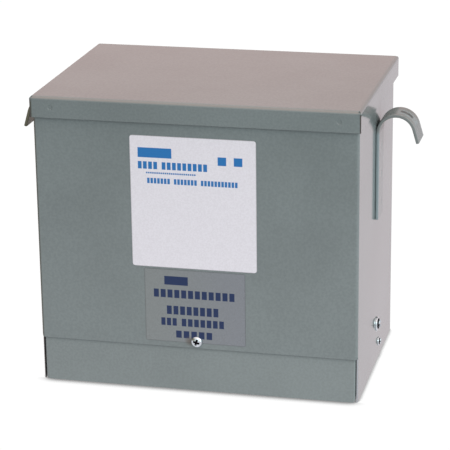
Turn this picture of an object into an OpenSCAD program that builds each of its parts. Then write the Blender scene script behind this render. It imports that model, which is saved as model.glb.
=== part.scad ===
// Small dry-type distribution transformer in a folded sheet-steel case.
// +X is to the right of someone facing the front, +Y runs to the back and the wall, +Z is up.
// The origin is on the floor, in the middle of the case's width and of its overall depth.

/* [Case] */
// Width across the outsides of the side panels
case_w = 324; // [220:1:480]
// Depth from the front cover's face to the rear edges of the side panels
case_d = 211.5; // [150:0.5:340]
// Overall height, floor to the top of the top cover
case_h = 298.3; // [240:0.1:460]
// Thickness of the case's sheet steel
sheet = 1.5; // [1:0.1:2]
// Outside radius of the case's folds
fold_r = 3; // [2.5:0.25:6]
// Width of the return flanges at the rear edges of the side panels
return_flange_w = 16; // [10:1:30]
// Clearance between pieces that are slid together
fit_gap = 0.3; // [0.1:0.1:0.6]
// Width of the slanted nick at the lower end of each front fold
fold_nick_w = 1.5; // [0.5:0.1:2.5]
// Height of the nick
fold_nick_h = 2.5; // [1:0.1:5]
// Bevel on the front edges of the side panels below the folds
panel_bevel = 1; // [0.4:0.1:1]

/* [Top cover] */
// Height of the top cover's flanges
lid_flange_h = 21.3; // [14:0.1:40]
// Outside radius of the top cover's folds
lid_fold_r = 3.25; // [2.5:0.25:6]
// Gap between a side flange and the side panel
lid_side_gap = 0.4; // [0.2:0.1:1.5]
// Gap between the front flange and the front cover
lid_front_gap = 1.8; // [0.6:0.1:4]
// Width of the notch down each corner, beside the end of the front or rear flange
lid_notch_w = 1.1; // [0.5:0.1:2]
// Diameter of the relief hole at each corner
lid_relief_d = 2; // [1.5:0.25:5]
// Diameter of the weld dimples in the front flange
dimple_d = 7; // [4:0.5:12]
// Distance from the ends of the front flange to the weld dimples
dimple_inset = 21; // [15:1:60]

/* [Wiring cover] */
// Height of the seam between the front cover and the wiring cover
seam_z = 46; // [34:0.5:58]
// Height of the strip that tucks up behind the front cover
tuck_h = 16; // [12:1:30]
// Gap between each end of the wiring cover and the side panel
strip_side_gap = 0.9; // [0.5:0.1:4]
// Depth of the flanges at the ends of the wiring cover
strip_flange = 14; // [8:1:25]
// Inside radius of the wiring cover's folds
strip_bend_r = 0.5; // [0.3:0.1:2]
// Size of the nick in each lower corner of the wiring cover
strip_nick = 1.6; // [0.5:0.1:4]
// Height of the cover screw above the seam
cover_screw_rise = 7.1; // [6:0.1:12]
// Diameter of the cover screw's head
cover_screw_head_d = 11.5; // [8:0.1:14]
// Diameter of the cover screw's shank
cover_screw_d = 5.8; // [4:0.1:6.5]

/* [Bottom tray] */
// Height of the tray's side and rear flanges
tray_flange_h = 26; // [22:1:34]
// Height of the tray's front flange
tray_lip_h = 10; // [6:0.5:16]
// Height of the tray screws
tray_screw_z = 16.7; // [10:0.1:20]
// Distance of the tray screws behind the middle of the overall depth
tray_screw_y = 16.4; // [0:0.1:40]
// Diameter of the tray screws' heads
tray_screw_head_d = 9.5; // [7:0.1:12]
// Diameter of the tray screws' shanks
tray_screw_d = 4.8; // [3.5:0.1:5.5]

/* [Core and its brackets] */
// Height of the underside of the potted core block
core_z = 78; // [70:1:110]
// Gap between the core block and the case around it
core_gap = 0.5; // [0.3:0.1:2]
// Thickness of the bracket plate
bracket_t = 3; // [2:0.5:5]
// Width of the shelf that carries the core block
bracket_shelf_w = 34; // [20:1:50]
// Length of the brackets from front to back
bracket_len = 150; // [80:1:220]
// Height of the frame bolts
frame_bolt_z = 41.2; // [38:0.1:60]
// Distance of the frame bolts behind the middle of the overall depth
frame_bolt_y = 3; // [0:0.1:40]
// Diameter of the frame bolts' heads
frame_bolt_head_d = 15; // [10:0.1:20]
// Diameter of the frame bolts' shanks
frame_bolt_d = 7.9; // [6:0.1:9.5]

/* [Lifting hooks] */
// Thickness of the flat bar
hook_t = 3.2; // [2:0.1:6]
// Width of the flat bar
hook_w = 31.75; // [20:0.25:50]
// Gap between the top of the arch and the lower edge of the top cover
hook_drop = 7.1; // [2:0.1:40]
// Length of the strap below the centre of the arch
hook_strap_len = 90.2; // [40:0.1:130]
// Inside radius of the arch
hook_arch_r = 16.8; // [10:0.1:22]
// Distance by which the free leg runs outwards for each 24 mm that it falls
hook_splay = 7; // [0, 7, 18]
// Length of the right hook's straight free leg
hook_leg = 14.5; // [5:0.5:20]
// Length by which the left hook's free leg is longer
left_leg_excess = 2.8; // [0:0.1:5]

/* [Back plate and wall rails] */
// Depth of the wall rails, from the back plate to the wall
rail_depth = 17.1; // [14:0.1:40]
// Thickness of the rails
rail_t = 2.4; // [1.5:0.1:4]
// Length of the rails
rail_len = 300; // [180:1:300]
// Height of each rail's flanges
rail_flange_h = 30; // [24:1:40]
// Height of the centre of the lower rail's slots
lower_slot_z = 60; // [45:1:90]
// Distance from the lower edge of the top cover down to the centre of the upper rail's slots
upper_slot_drop = 37; // [25:1:70]
// Distance between the two slots of a rail
slot_pitch_x = 254; // [120:1:256]
// Width of the slots
slot_w = 9; // [6:0.5:11]
// Length of the slots
slot_len = 16; // [12:0.5:24]
// Diameter of the back screws' heads
back_screw_head_d = 8.4; // [7:0.1:9]
// Diameter of the back screws' shanks
back_screw_d = 3.9; // [3:0.1:4.5]

/* [Knockouts] */
// Diameter of the outer ring of a knockout
knockout_d = 28.2; // [22:0.1:35]
// Diameter of the inner ring of a knockout
knockout_inner_d = 22.2; // [15:0.1:26]
// Width of the ring grooves
knockout_groove = 0.8; // [0.4:0.1:1.2]

/* [Labels] */
// Thickness of a label
label_t = 0.25; // [0.1:0.05:0.6]
// Width of the upper label
rating_label_w = 126; // [60:1:160]
// Distance from the lower edge of the top cover down to the upper label
rating_label_drop = 13.5; // [4:0.5:30]
// Gap between the two labels
label_gap = 2; // [1:0.5:10]
// Distance of the labels' middles from the middle of the case, to the left
label_shift = 1.2; // [0:0.1:10]
// Width of the lower label
notice_label_w = 102; // [50:1:140]
// Height of the lower label
notice_label_h = 76; // [40:1:76]
// Height of the lower label's lower edge above the seam
notice_label_rise = 5.5; // [2:0.1:7]

/* [Hidden] */
$fn = 64;
eps = 1;

paint = "#7d8788";
zinc = "#c9ccd0";

// Planes of the case, from front to back and from the floor up. The top cover reaches
// as far back as the wall rails, so its rear flange also lies against the wall.
case_x = case_w / 2;
inner_x = case_x - sheet;
lid_x = case_x + lid_side_gap + sheet;
wall_y = (sheet + lid_front_gap + case_d + sheet + rail_depth) / 2;
lid_front_y = -wall_y;
front_y = lid_front_y + sheet + lid_front_gap;
rear_y = front_y + case_d;
back_plate_y = rear_y + sheet;
back_plate_inset = 4;
back_plate_low_z = 2;
panel_top_z = case_h - lid_fold_r;
lid_low_z = case_h - lid_flange_h;
lid_relief_wall = 0.9;

// Shape of the weld dimples: floor and rim diameters, depth in the sheet, bite into the flange
dimple_floor = 0.6;
dimple_depth = 0.3;
dimple_bite = 0.2;

// The wiring cover slides up behind the front cover and bears on the tray's front flange
strip_x = inner_x - strip_side_gap;
strip_y = front_y + sheet + fit_gap;
strip_r = strip_bend_r + sheet;
tuck_step = 0.8;
tray_front_y = strip_y + sheet;
tray_rear_y = rear_y - sheet - fit_gap;
tray_knockout_pitch = 60;
back_knockout_x = 106;
back_knockout_z = 26;
knockout_depth = 0.7;

// Screws: clearance round a shank, reach past what it holds, and the shape of a head
screw_gap = 0.15;
screw_reach = 3;
head_rise = 0.33;
rim_share = 0.3;
recess_share = 0.52;
recess_turn = 12;
cover_screw_z = seam_z + cover_screw_rise;
back_screw_x = inner_x - return_flange_w / 2;
back_screw_low_z = tray_flange_h + 8;
back_screw_high_z = panel_top_z - 12;

// Heights of the hooks and the upper rail, hung from the lower edge of the top cover
hook_arch_z = lid_low_z - hook_drop - hook_t - hook_arch_r;
hook_foot_z = hook_arch_z - hook_strap_len;
upper_slot_z = lid_low_z - upper_slot_drop;

// Bends and flanges of the rails and brackets
rail_bend_r = 2 * rail_t;
rail_foot = 20;
bracket_bend_r = 2 * bracket_t;
weld_nut_h = 6;

// Angle of the hooks' free legs from upright
hook_flare = atan2(hook_splay, 24);

// The lower label stands above the seam, and the upper one fills the space up to the top cover
notice_label_z = seam_z + notice_label_rise;
rating_label_z = notice_label_z + notice_label_h + label_gap;
rating_label_h = lid_low_z - rating_label_drop - rating_label_z;
rating_corner_r = 3;
notice_corner_r = 1.5;

// Turns a drawing on X and Y so that its y runs up Z, and gives it the depth d backwards from y = 0
module stand_up(d) {
    translate([0, d, 0]) rotate([90, 0, 0]) linear_extrude(d) children();
}

// Turns a drawing so that its x runs along Y and its y up Z, with the width w centred on X
module stand_side(w) {
    translate([-w / 2, 0, 0]) rotate([90, 0, 90]) linear_extrude(w) children();
}

// A rectangle from lo to hi. Each entry of corners is a corner to round to radius r,
// with 0 for its low side and 1 for its high side along each axis.
module rounded(lo, hi, r, corners) {
    size = hi - lo;
    difference() {
        translate(lo) square(size);
        for (c = corners) translate(lo + [c[0] * size[0], c[1] * size[1]]) difference() {
            square(2 * r, center = true);
            translate(r * ([1, 1] - 2 * c)) circle(r);
        }
    }
}

ALL_CORNERS = [[0, 0], [1, 0], [0, 1], [1, 1]];
UPPER = [[0, 1], [1, 1]];
LOWER = [[0, 0], [1, 0]];

// A pan head screw with its seat at the origin, its head towards +Z and a cross recess
module pan_screw(head_d, shank_d, shank_len) {
    rise = head_rise * head_d;
    rim = rim_share * rise;
    dome_r = (pow(head_d / 2, 2) + pow(rise - rim, 2)) / (2 * (rise - rim));
    arm = recess_share * head_d;
    difference() {
        union() {
            intersection() {
                cylinder(d = head_d, h = rise);
                translate([0, 0, rise - dome_r]) sphere(dome_r);
            }
            translate([0, 0, -shank_len]) cylinder(d = shank_d, h = shank_len + rim);
        }
        rotate([0, 0, recess_turn]) for (a = [0, 90]) rotate([0, 0, a])
            translate([-arm / 2, -arm / 8, rise / 2]) cube([arm, arm / 4, rise]);
    }
}

// Places something on a side panel, pointing out: side is -1 on the left and 1 on the right
module on_side(side, y, z) {
    translate([side * case_x, y, z]) rotate([0, side * 90, 0]) children();
}

// A hole through a side panel and what lies behind it
module side_hole(side, y, z, shank_d, reach) {
    on_side(side, y, z) translate([0, 0, -reach]) cylinder(d = shank_d + 2 * screw_gap, h = reach + eps);
}

// The cover screw's hole through both covers, on the middle of the case
module cover_screw_hole() {
    translate([0, strip_y + sheet + eps, cover_screw_z]) rotate([90, 0, 0])
        cylinder(d = cover_screw_d + 2 * screw_gap, h = 4 * sheet);
}

// The places of the four back screws
module at_back_screw(side, z) {
    translate([side * back_screw_x, back_plate_y, z]) rotate([-90, 0, 0]) children();
}

module back_screw_holes() {
    for (side = [-1, 1], z = [back_screw_low_z, back_screw_high_z])
        at_back_screw(side, z) translate([0, 0, -3 * sheet])
            cylinder(d = back_screw_d + 2 * screw_gap, h = 4 * sheet);
}

// Front and both sides in one folded sheet. Below the seam the folds are notched out, with
// a nick in each fold's end, which leaves bevelled front edges on the side panels. The rear
// edges are folded in as flanges for the back plate.
module front_side_cover() {
    color(paint) difference() {
        linear_extrude(panel_top_z) difference() {
            rounded([-case_x, front_y], [case_x, rear_y], fold_r, ALL_CORNERS);
            rounded([-inner_x, front_y + sheet], [inner_x, rear_y - sheet], fold_r - sheet, ALL_CORNERS);
            translate([-inner_x + return_flange_w, rear_y - sheet - eps])
                square([2 * (inner_x - return_flange_w), sheet + 2 * eps]);
        }
        translate([-case_x - eps, front_y - eps, -eps]) cube([case_w + 2 * eps, fold_r + eps, seam_z + eps]);
        for (side = [0, 1]) mirror([side, 0, 0]) {
            translate([case_x, front_y - eps, seam_z]) stand_up(fold_r + eps)
                polygon([[-fold_nick_w, 0], [0, -eps], [eps, -eps], [eps, fold_nick_h], [0, fold_nick_h]]);
            translate([case_x, front_y + fold_r, -eps]) linear_extrude(seam_z + eps)
                polygon([[-panel_bevel, 0], [-panel_bevel, -eps], [eps, -eps], [eps, panel_bevel], [0, panel_bevel]]);
        }
        for (side = [-1, 1]) {
            side_hole(side, tray_screw_y, tray_screw_z, tray_screw_d, 2 * sheet);
            side_hole(side, frame_bolt_y, frame_bolt_z, frame_bolt_d, 2 * sheet);
        }
        cover_screw_hole();
        back_screw_holes();
    }
}

// The space taken up by the top cover's pan, drawn in from its outside by inset
module lid_block(inset) {
    x = lid_x - inset;
    y = wall_y - inset;
    top = case_h - inset;
    bottom = lid_low_z - (inset > 0 ? eps : 0);
    r = lid_fold_r - inset;
    intersection() {
        stand_side(2 * x) rounded([-y, bottom], [y, top], r, UPPER);
        translate([0, -y, 0]) stand_up(2 * y) rounded([-x, bottom], [x, top], r, UPPER);
    }
}

// A weld dimple pressed into the front flange until it meets the front cover
module dimple_boss() {
    rotate([90, 0, 0])
        cylinder(d1 = dimple_floor * dimple_d, d2 = dimple_d, h = lid_front_gap + dimple_bite);
}

module dimple_hollow() {
    depth = dimple_depth * sheet;
    translate([0, -eps, 0]) rotate([-90, 0, 0])
        cylinder(d1 = dimple_d, d2 = dimple_floor * dimple_d, h = depth + eps);
}

// A pan folded down on four sides. The side flanges' ends stand back a little behind the
// other two flanges, which end short of the corner and so leave a shallow notch down it.
module top_cover() {
    dimple_x = lid_x - dimple_inset;
    dimple_z = case_h - lid_flange_h / 2;
    relief = lid_relief_d / 2 + lid_relief_wall;
    notch_d = sheet / 3;
    color(paint) difference() {
        union() {
            difference() {
                lid_block(0);
                lid_block(sheet);
            }
            for (side = [-1, 1]) translate([side * dimple_x, front_y, dimple_z]) dimple_boss();
        }
        for (side = [-1, 1]) translate([side * dimple_x, lid_front_y, dimple_z]) dimple_hollow();
        for (side = [-1, 1], end = [-1, 1]) {
            translate([side * lid_x, end * wall_y, case_h - lid_fold_r - lid_flange_h / 2])
                cube([2 * lid_notch_w, 2 * notch_d, lid_flange_h], center = true);
            translate([side * (lid_x - relief), end * (wall_y - relief), case_h - lid_fold_r])
                cylinder(d = lid_relief_d, h = lid_fold_r + eps);
        }
    }
}

// The removable strip over the wiring space, folded back at its ends.
// Its upper edge is a tongue that tucks up behind the front cover.
module wiring_cover() {
    end_w = strip_r + fit_gap;
    back = strip_y + strip_flange;
    color(paint) difference() {
        linear_extrude(seam_z + tuck_h) difference() {
            rounded([-strip_x, strip_y], [strip_x, back], strip_r, LOWER);
            rounded([-strip_x + sheet, strip_y + sheet], [strip_x - sheet, back + eps], strip_bend_r, LOWER);
        }
        for (side = [-1, 1]) {
            translate([side * strip_x, strip_y + strip_flange / 2, seam_z - tuck_step + tuck_h])
                cube([2 * end_w, strip_flange + 2 * eps, 2 * tuck_h], center = true);
            translate([side * strip_x, strip_y, 0])
                cube([2 * strip_nick, 2 * (strip_r + eps), 2 * strip_nick], center = true);
        }
        cover_screw_hole();
    }
}

// The space taken up by the bottom tray's pan, drawn in from its outside by inset
module tray_block(inset) {
    x = inner_x - inset;
    front = tray_front_y + inset;
    back = tray_rear_y - inset;
    top = tray_flange_h + (inset > 0 ? eps : 0);
    intersection() {
        translate([0, front, 0]) stand_up(back - front)
            rounded([-x, inset], [x, top], fold_r - inset, LOWER);
        stand_side(2 * x) rounded([front, inset], [back, top], fold_r - inset, LOWER);
    }
}

// The floor of the case, folded up on four sides and lowest at the front. Its corners are
// notched for the wrapper's folds at the rear and for the wiring cover's ends at the front.
module bottom_tray() {
    notch = fold_r + 2 * fit_gap;
    front_notch = strip_flange + eps;
    color(paint) difference() {
        tray_block(0);
        tray_block(sheet);
        translate([-inner_x, tray_front_y - eps, tray_lip_h])
            cube([2 * inner_x, sheet + 2 * eps, tray_flange_h]);
        for (side = [-1, 1]) {
            translate([side * inner_x, tray_rear_y, tray_flange_h / 2])
                cube([2 * notch, 2 * notch, tray_flange_h + 2 * eps], center = true);
            translate([side * inner_x, tray_front_y, tray_flange_h / 2])
                cube([2 * notch, 2 * front_notch, tray_flange_h + 2 * eps], center = true);
            side_hole(side, tray_screw_y, tray_screw_z, tray_screw_d, 3 * sheet);
        }
        for (x = [-1, 0, 1]) translate([x * tray_knockout_pitch, 0, 0]) knockout_rings();
    }
}

// The grooves of a double knockout, cut up from z = 0 into a sheet
module knockout_rings() {
    for (d = [knockout_d, knockout_inner_d]) difference() {
        translate([0, 0, -eps]) cylinder(d = d, h = knockout_depth * sheet + eps);
        translate([0, 0, -2 * eps]) cylinder(d = d - 2 * knockout_groove, h = sheet + 3 * eps);
    }
}

// The flat plate that closes the back, with two knockouts into the wiring space
module back_plate() {
    color(paint) difference() {
        translate([-case_x + back_plate_inset, rear_y, back_plate_low_z])
            cube([case_w - 2 * back_plate_inset, sheet, panel_top_z - back_plate_low_z]);
        back_screw_holes();
        for (side = [-1, 1]) translate([side * back_knockout_x, back_plate_y, back_knockout_z])
            rotate([90, 0, 0]) knockout_rings();
    }
}

// A slot along X, cut through the wall flange with its middle at the origin
module wall_slot() {
    half = (slot_len - slot_w) / 2;
    translate([0, -eps, 0]) stand_up(rail_t + 2 * eps) {
        for (x = [-half, half]) translate([x, 0]) circle(d = slot_w);
        square([2 * half, slot_w], center = true);
    }
}

// A Z-shaped rail from the back plate to the wall. The wall flange has its slots at z = 0,
// with the web under it and the plate flange hanging from the web.
module wall_rail() {
    mid = (back_plate_y + wall_y) / 2;
    low = -rail_flange_h / 2;
    inner_r = rail_bend_r - rail_t;
    difference() {
        stand_side(rail_len) {
            difference() {
                rounded([mid, low], [wall_y, -low], rail_bend_r, [[1, 0]]);
                rounded([mid - eps, low + rail_t], [wall_y - rail_t, -low + eps], inner_r, [[1, 0]]);
            }
            difference() {
                rounded([back_plate_y, low + rail_t - rail_foot], [mid, low + rail_t], rail_bend_r, [[0, 1]]);
                rounded([back_plate_y + rail_t, low - rail_foot], [mid + eps, low], inner_r, [[0, 1]]);
            }
        }
        for (side = [-1, 1]) translate([side * slot_pitch_x / 2, wall_y - rail_t, 0]) wall_slot();
    }
}

module upper_wall_rail() {
    color(paint) translate([0, 0, upper_slot_z]) wall_rail();
}

module lower_wall_rail() {
    color(paint) translate([0, 0, lower_slot_z]) mirror([0, 0, 1]) wall_rail();
}

// The hook's outline seen from the front: a strap up the side panel, an arch over
// the top and a free leg that flares outwards. x = 0 is the face of the side panel.
module hook_outline(leg) {
    outer_r = hook_arch_r + hook_t;
    foot = hook_foot_z - hook_arch_z;
    far = 2 * outer_r;
    // Reaches far enough to the left of the free leg to clear the bottom of the arch's circle
    lap = outer_r * sin(hook_flare) + eps;
    translate([outer_r, hook_arch_z]) difference() {
        union() {
            circle(outer_r);
            translate([-outer_r, foot]) square([outer_r, -foot]);
            rotate(hook_flare) translate([0, -leg]) square([outer_r, leg]);
        }
        circle(hook_arch_r);
        translate([-hook_arch_r, foot - eps]) square([hook_arch_r + eps, eps - foot]);
        rotate(hook_flare) {
            translate([-lap, -far]) square([lap + hook_arch_r, far]);
            translate([-lap, -far]) square([lap + far, far - leg]);
        }
    }
}

module lifting_hook(leg) {
    color(paint) translate([case_x, -hook_w / 2, 0]) stand_up(hook_w) hook_outline(leg);
}

module right_lifting_hook() {
    lifting_hook(hook_leg);
}

module left_lifting_hook() {
    mirror([1, 0, 0]) lifting_hook(hook_leg + left_leg_excess);
}

// The core and coils, cast into one block that fills the upper case
module core_block() {
    front = strip_y + sheet + core_gap;
    back = rear_y - sheet - screw_reach - core_gap;
    top = case_h - sheet - core_gap;
    half = inner_x - core_gap;
    color("#4a4a48") translate([0, 0, core_z]) linear_extrude(top - core_z)
        rounded([-half, front], [half, back], fold_r, ALL_CORNERS);
}

// An angle on the right side panel: its shelf carries the core block and a nut is
// welded to its leg for the frame bolt
module core_bracket() {
    leg_z = tray_flange_h + eps;
    hole_d = frame_bolt_d + 2 * screw_gap;
    color(paint) difference() {
        union() {
            translate([0, (front_y + rear_y - bracket_len) / 2, 0]) stand_up(bracket_len) difference() {
                rounded([inner_x - bracket_shelf_w, leg_z], [inner_x, core_z], bracket_bend_r, [[1, 1]]);
                rounded([inner_x - bracket_shelf_w - eps, leg_z - eps], [inner_x - bracket_t, core_z - bracket_t],
                        bracket_bend_r - bracket_t, [[1, 1]]);
            }
            translate([inner_x - bracket_t - weld_nut_h, frame_bolt_y, frame_bolt_z]) rotate([0, 90, 0])
                cylinder(d = 2 * frame_bolt_d, h = weld_nut_h, $fn = 6);
        }
        on_side(1, frame_bolt_y, frame_bolt_z) translate([0, 0, -inner_x])
            cylinder(d = hole_d, h = inner_x);
    }
}

module right_core_bracket() {
    core_bracket();
}

module left_core_bracket() {
    mirror([1, 0, 0]) core_bracket();
}

// The screw clamps both covers and the lower edge of the notice label
module cover_screw() {
    color(zinc) translate([0, front_y - label_t, cover_screw_z]) rotate([90, 0, 0])
        pan_screw(cover_screw_head_d, cover_screw_d, label_t + 2 * sheet + fit_gap + screw_reach);
}

module frame_bolt(side) {
    color(zinc) on_side(side, frame_bolt_y, frame_bolt_z)
        pan_screw(frame_bolt_head_d, frame_bolt_d, sheet + bracket_t + weld_nut_h + screw_reach);
}

module tray_screw(side) {
    color(zinc) on_side(side, tray_screw_y, tray_screw_z)
        pan_screw(tray_screw_head_d, tray_screw_d, 2 * sheet + screw_reach);
}

module back_screw(side, z) {
    color(zinc) at_back_screw(side, z) pan_screw(back_screw_head_d, back_screw_d, 2 * sheet + screw_reach);
}

// A flat label stuck to the front cover, with round corners
module label(w, h, z, corner) {
    translate([-label_shift, front_y - label_t, z]) stand_up(label_t)
        rounded([-w / 2, 0], [w / 2, h], corner, ALL_CORNERS);
}

module rating_label() {
    color("#e3e3e8") label(rating_label_w, rating_label_h, rating_label_z, rating_corner_r);
}

module notice_label() {
    color("#9a9ca0") difference() {
        label(notice_label_w, notice_label_h, notice_label_z, notice_corner_r);
        cover_screw_hole();
    }
}

front_side_cover();
top_cover();
wiring_cover();
bottom_tray();
back_plate();
upper_wall_rail();
lower_wall_rail();
left_lifting_hook();
right_lifting_hook();
core_block();
left_core_bracket();
right_core_bracket();
cover_screw();
frame_bolt(-1);  // left_frame_bolt
frame_bolt(1);  // right_frame_bolt
tray_screw(-1);  // left_tray_screw
tray_screw(1);  // right_tray_screw
back_screw(-1, back_screw_high_z);  // upper_left_back_screw
back_screw(1, back_screw_high_z);  // upper_right_back_screw
back_screw(-1, back_screw_low_z);  // lower_left_back_screw
back_screw(1, back_screw_low_z);  // lower_right_back_screw
rating_label();
notice_label();
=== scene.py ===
"""The looks of a small dry-type distribution transformer in a folded sheet-steel case.

The sections follow the transformer as it is put together, after one on the camera and the studio.
Lengths are in metres. +X is to the right of someone facing the front and +Y runs to the wall.
"""

import math

import bmesh
import bpy
import numpy as np
from mathutils import Matrix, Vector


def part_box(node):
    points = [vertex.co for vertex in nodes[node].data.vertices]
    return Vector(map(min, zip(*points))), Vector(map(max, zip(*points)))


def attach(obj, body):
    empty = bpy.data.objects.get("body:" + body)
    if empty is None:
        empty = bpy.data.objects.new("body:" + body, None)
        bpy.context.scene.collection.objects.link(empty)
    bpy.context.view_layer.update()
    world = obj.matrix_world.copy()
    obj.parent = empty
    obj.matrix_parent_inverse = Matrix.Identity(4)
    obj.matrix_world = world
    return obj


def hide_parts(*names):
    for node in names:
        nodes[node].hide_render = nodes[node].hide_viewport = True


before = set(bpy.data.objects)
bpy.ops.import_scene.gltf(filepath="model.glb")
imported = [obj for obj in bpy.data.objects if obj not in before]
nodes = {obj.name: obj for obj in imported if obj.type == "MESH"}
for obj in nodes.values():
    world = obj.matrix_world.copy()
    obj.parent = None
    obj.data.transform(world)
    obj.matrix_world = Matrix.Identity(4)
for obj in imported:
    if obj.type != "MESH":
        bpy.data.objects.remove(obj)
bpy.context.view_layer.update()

# ---------------------------------------------------------------------------------------------
# The camera and the studio: a long lens at the front right, looking down on a pale light table
# that glows softly from below. The room is bright at the right and overhead, warm and duller
# behind, and darkest at the left. Its colours run into each other over bands, which are given by
# how far right, back or up they lie, from -1 to 1.

CAMERA_PLACE = (0.46540, -1.91535, 0.78459)
CAMERA_AZIMUTH = math.radians(13.576)
CAMERA_ELEVATION = math.radians(18.141)
CAMERA_ROLL = math.radians(-0.746)
LENS_MM = 160.39
SENSOR_MM = 36

ROOM_RIGHT = (1.25, 1.25, 1.25, 1)
ROOM_LEFT = (0.24, 0.19, 0.12, 1)
ROOM_BACK = (0.94, 0.67, 0.645, 1)
ROOM_TOP = (1.65, 1.3, 1.25, 1)
LEFT_TO_RIGHT = (-0.9, -0.05)
FRONT_TO_BACK = (0.55, 0.9)
BACK_ENDS_LEFT = (-0.55, -0.35)
WALL_TO_TOP = (0.4, 0.8)

KEY_PLACE = (1.9, -1.5, 0.9)
KEY_SIDE = 1.1
KEY_WATTS = 20.5
KEY_AIM = (0, 0, 0.15)

FLOOR_SIDE = 24
TABLE_WHITE = (1.02, 1.02, 1.02, 1)
CONTACT_SHADE = (0.03, 0.03, 0.03, 1)
CONTACT_REACH = 0.014
CONTACT_OPENNESS = (0.33, 1.0)
BESIDE_FROM_FOOT = (-0.0024, 0.0036)
BESIDE_CLOSENESS = (0.56, 0.85)
BESIDE_CLOSEST = 0.6

BOUNCE_COLOUR = (0.87, 0.76, 0.79, 1)
BOUNCE_STRENGTH = 1.0
BOUNCE_FADE = (-1.3, -0.25)
BOUNCE_LOW = 0.35
BOUNCE_DROP = 0.001
SHADE_ACROSS = (-0.25, 0.12)
SHADE_BACK = (-0.11, 0.05)
SHADE_DEPTH = 0.74

CARD_PLACE = (0.70, 0.95, 1.25)
CARD_SIDE = 1.1
CARD_BLACK = (0.02, 0.02, 0.02, 1)


def add(tree, kind, inputs=None, **settings):
    """A new shader node, with its settings, and its inputs set to values or linked from sockets."""
    node = tree.nodes.new("ShaderNode" + kind)
    for name, value in settings.items():
        setattr(node, name, value)
    for key, value in (inputs or {}).items():
        if isinstance(value, bpy.types.NodeSocket):
            tree.links.new(value, node.inputs[key])
        else:
            node.inputs[key].default_value = value
    return node


def sum_up(tree, operation, *values):
    """The Math node's result on one, two or three values."""
    return add(tree, "Math", dict(enumerate(values)), operation=operation).outputs[0]


def ramp(tree, value, low, high, to_low=0.0, to_high=1.0):
    """The value mapped smoothly from low..high to to_low..to_high, and held outside them."""
    inputs = {"Value": value, "From Min": low, "From Max": high,
              "To Min": to_low, "To Max": to_high}
    return add(tree, "MapRange", inputs, interpolation_type="SMOOTHSTEP").outputs["Result"]


def blend(tree, share, under, over):
    """The colour over laid on the colour under by share, from 0 to 1."""
    node = add(tree, "Mix", {0: share, 6: under, 7: over}, data_type="RGBA")
    return node.outputs[2]


def aimed_at(place, target):
    """The matrix that stands a lamp at place with its -Z axis towards target."""
    to_target = Matrix.Translation(target).translation - Matrix.Translation(place).translation
    return Matrix.Translation(place) @ to_target.to_track_quat("-Z", "Y").to_matrix().to_4x4()


def material(name):
    """An empty node material."""
    made = bpy.data.materials.new(name)
    made.use_nodes = True
    made.node_tree.nodes.clear()
    return made


def wide_sheet(name, height, finish, side=FLOOR_SIDE):
    """A level square sheet with a finish, linked into the scene."""
    reach = side / 2
    corners = [(-reach, -reach, height), (reach, -reach, height),
               (reach, reach, height), (-reach, reach, height)]
    mesh = bpy.data.meshes.new(name)
    mesh.from_pydata(corners, [], [(0, 1, 2, 3)])
    mesh.materials.append(finish)
    sheet = bpy.data.objects.new(name, mesh)
    bpy.context.scene.collection.objects.link(sheet)
    return sheet


camera = bpy.data.objects.new("camera", bpy.data.cameras.new("camera"))
camera.data.lens = LENS_MM
camera.data.sensor_width = SENSOR_MM
camera.data.clip_end = 100
camera.matrix_world = (Matrix.Translation(CAMERA_PLACE)
                       @ Matrix.Rotation(CAMERA_AZIMUTH, 4, "Z")
                       @ Matrix.Rotation(math.pi / 2 - CAMERA_ELEVATION, 4, "X")
                       @ Matrix.Rotation(CAMERA_ROLL, 4, "Z"))
bpy.context.scene.collection.objects.link(camera)
bpy.context.scene.camera = camera
bpy.context.scene.view_settings.view_transform = "Standard"

room = bpy.data.worlds.new("room")
room.use_nodes = True
tree = room.node_tree
tree.nodes.clear()
axes = add(tree, "SeparateXYZ", {0: add(tree, "TexCoord").outputs["Generated"]}).outputs
sides = blend(tree, ramp(tree, axes["X"], *LEFT_TO_RIGHT), ROOM_LEFT, ROOM_RIGHT)
rear = sum_up(tree, "MULTIPLY", ramp(tree, axes["Y"], *FRONT_TO_BACK),
              ramp(tree, axes["X"], *BACK_ENDS_LEFT))
walls = blend(tree, rear, sides, ROOM_BACK)
surround = blend(tree, ramp(tree, axes["Z"], *WALL_TO_TOP), walls, ROOM_TOP)
add(tree, "OutputWorld", {"Surface": add(tree, "Background", {"Color": surround}).outputs[0]})
bpy.context.scene.world = room

key = bpy.data.objects.new("key_light", bpy.data.lights.new("key_light", "AREA"))
key.data.shape = "SQUARE"
key.data.size = KEY_SIDE
key.data.energy = KEY_WATTS
key.matrix_world = aimed_at(KEY_PLACE, KEY_AIM)
bpy.context.scene.collection.objects.link(key)

# The table top is bright enough to be plain white. It is grey only where something nearly touches
# it, a painted contact shadow that follows an ambient-occlusion node, and less so beside the case
# than along its front, where the wiring cover comes down to it.
table_top = material("table_top")
tree = table_top.node_tree
openness = add(tree, "AmbientOcclusion", {"Distance": CONTACT_REACH}, samples=16).outputs["AO"]
closeness = ramp(tree, openness, *CONTACT_OPENNESS, 1.0, 0.0)
axes = add(tree, "SeparateXYZ", {0: add(tree, "TexCoord").outputs["Object"]}).outputs
front_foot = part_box("wiring_cover")[0][1]
beside = ramp(tree, axes["Y"], front_foot + BESIDE_FROM_FOOT[0], front_foot + BESIDE_FROM_FOOT[1])
thinned = ramp(tree, closeness, *BESIDE_CLOSENESS, 0.0, BESIDE_CLOSEST)
less = sum_up(tree, "SUBTRACT", thinned, closeness)
darkness = sum_up(tree, "MULTIPLY_ADD", beside, less, closeness)
lit = blend(tree, darkness, TABLE_WHITE, CONTACT_SHADE)
add(tree, "OutputMaterial", {"Surface": add(tree, "Emission", {"Color": lit}).outputs[0]})
floor = wide_sheet("floor", 0, table_top)
floor.visible_diffuse = False
floor.visible_glossy = False
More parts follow.
